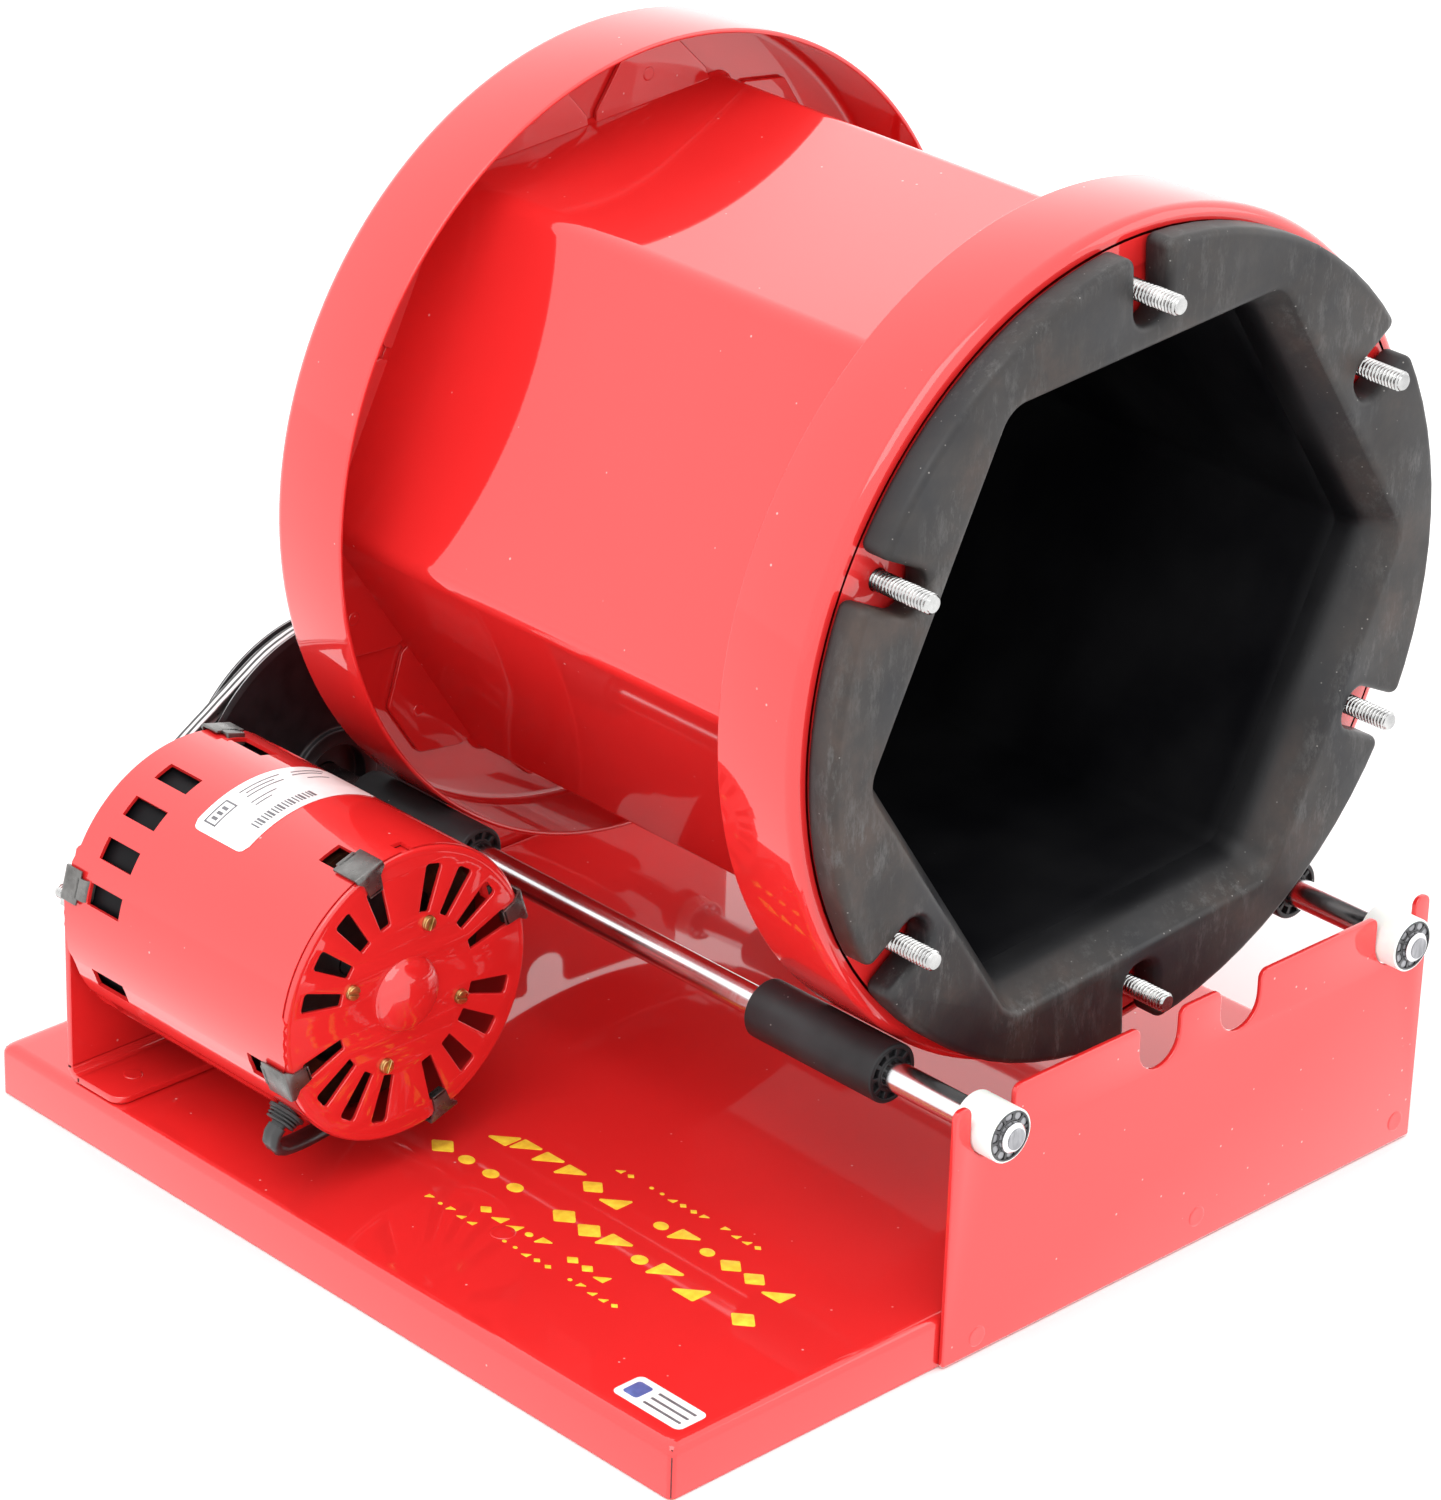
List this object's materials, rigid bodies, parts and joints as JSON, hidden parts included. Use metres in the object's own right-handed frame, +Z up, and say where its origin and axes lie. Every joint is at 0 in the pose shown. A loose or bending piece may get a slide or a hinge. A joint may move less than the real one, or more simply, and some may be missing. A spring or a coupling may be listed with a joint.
{
  "type": "rotary rock tumbler",
  "caption": "Rotary rock tumbler: a lined hexagonal steel barrel in round hoops rides on two roller shafts driven through a V belt by an open motor on a folded sheet base.",
  "frame": {"origin": "middle of the footprint at the base's underside, the cord, its coil and its plug left out", "axes": "+X from the motor's side towards the barrel's side, +Y along the barrel's axis from its open end to its closed end, +Z up"},
  "size_m": [0.3478, 0.4309, 0.3201],
  "materials": {
    "red_enamel": "gloss",
    "black_rubber": "matte, dusty",
    "belt_rubber": "matte",
    "bright_steel": "ground",
    "dark_steel": "oiled",
    "zinc_steel": "zinc plated",
    "black_iron": "painted black, satin",
    "cream_nylon": "smooth",
    "brass": "worn",
    "lamination": "stacked sheets",
    "copper": "varnished wire",
    "black_plastic": "matte",
    "cord_jacket": "satin vinyl"
  },
  "bodies": {
    "base": {"base_pan": "red_enamel", "front_upright": "red_enamel", "rear_upright": "red_enamel", "motor_bracket": "red_enamel", "motor_shell": "red_enamel", "motor_front_cover": "red_enamel", "motor_rear_cover": "red_enamel", "drive_bearing_sleeve_front": "cream_nylon", "drive_bearing_sleeve_rear": "cream_nylon", "drive_needle_bearing_front": "dark_steel", "drive_needle_bearing_rear": "dark_steel", "idler_bearing_sleeve_front": "cream_nylon", "idler_bearing_sleeve_rear": "cream_nylon", "idler_needle_bearing_front": "dark_steel", "idler_needle_bearing_rear": "dark_steel", "drive_belt": "belt_rubber", "cover_screw_1": "brass", "cover_screw_2": "brass", "cover_screw_3": "brass", "cover_screw_4": "brass", "motor_bush_front": "brass", "motor_bush_rear": "brass", "front_clip_1": "zinc_steel", "front_clip_2": "zinc_steel", "front_clip_3": "zinc_steel", "front_clip_4": "zinc_steel", "rear_clip_1": "zinc_steel", "rear_clip_2": "zinc_steel", "rear_clip_3": "zinc_steel", "rear_clip_4": "zinc_steel", "mount_stud_left": "zinc_steel", "mount_stud_right": "zinc_steel", "motor_stator": "lamination", "winding_front": "copper", "winding_rear": "copper", "strain_relief": "black_plastic", "mains_plug": "black_plastic", "power_cord": "cord_jacket", "cord_coil": "cord_jacket"},
    "barrel": {"barrel_body": "red_enamel", "front_hoop": "red_enamel", "rear_hoop": "red_enamel", "lid_stud_1": "zinc_steel", "lid_stud_2": "zinc_steel", "lid_stud_3": "zinc_steel", "lid_stud_4": "zinc_steel", "lid_stud_5": "zinc_steel", "lid_stud_6": "zinc_steel"},
    "liner": {"rubber_liner": "black_rubber"},
    "drive": {"drive_shaft": "bright_steel", "drive_roller_front": "black_rubber", "drive_roller_rear": "black_rubber", "drive_pulley": "black_iron"},
    "idler": {"idler_shaft": "bright_steel", "idler_roller_front": "black_rubber", "idler_roller_rear": "black_rubber"},
    "rotor": {"motor_rotor": "bright_steel", "motor_shaft": "bright_steel", "motor_fan": "black_plastic", "motor_pulley": "black_iron"}
  },
  "joints": [
    {"name": "barrel_spin", "type": "hinge", "parent": "base", "child": "barrel", "pos_m": [0.0411, 0, 0.18737], "axis": [0, 1, 0], "continuous": true},
    {"name": "liner_pull", "type": "slide", "parent": "barrel", "child": "liner", "axis": [0, -1, 0], "range_m": [0, 0.028]},
    {"name": "drive_shaft_spin", "type": "hinge", "parent": "base", "child": "drive", "pos_m": [-0.0479, 0, 0.0757], "axis": [0, 1, 0], "continuous": true},
    {"name": "idler_shaft_spin", "type": "hinge", "parent": "base", "child": "idler", "pos_m": [0.1301, 0, 0.0757], "axis": [0, 1, 0], "continuous": true},
    {"name": "motor_spin", "type": "hinge", "parent": "base", "child": "rotor", "pos_m": [-0.1252, 0, 0.077], "axis": [0, 1, 0], "continuous": true}
  ],
  "couplings": [
    {"joint": "drive_shaft_spin", "follows": "barrel_spin", "ratio": -14},
    {"joint": "idler_shaft_spin", "follows": "barrel_spin", "ratio": -14},
    {"joint": "motor_spin", "follows": "barrel_spin", "ratio": -63}
  ]
}
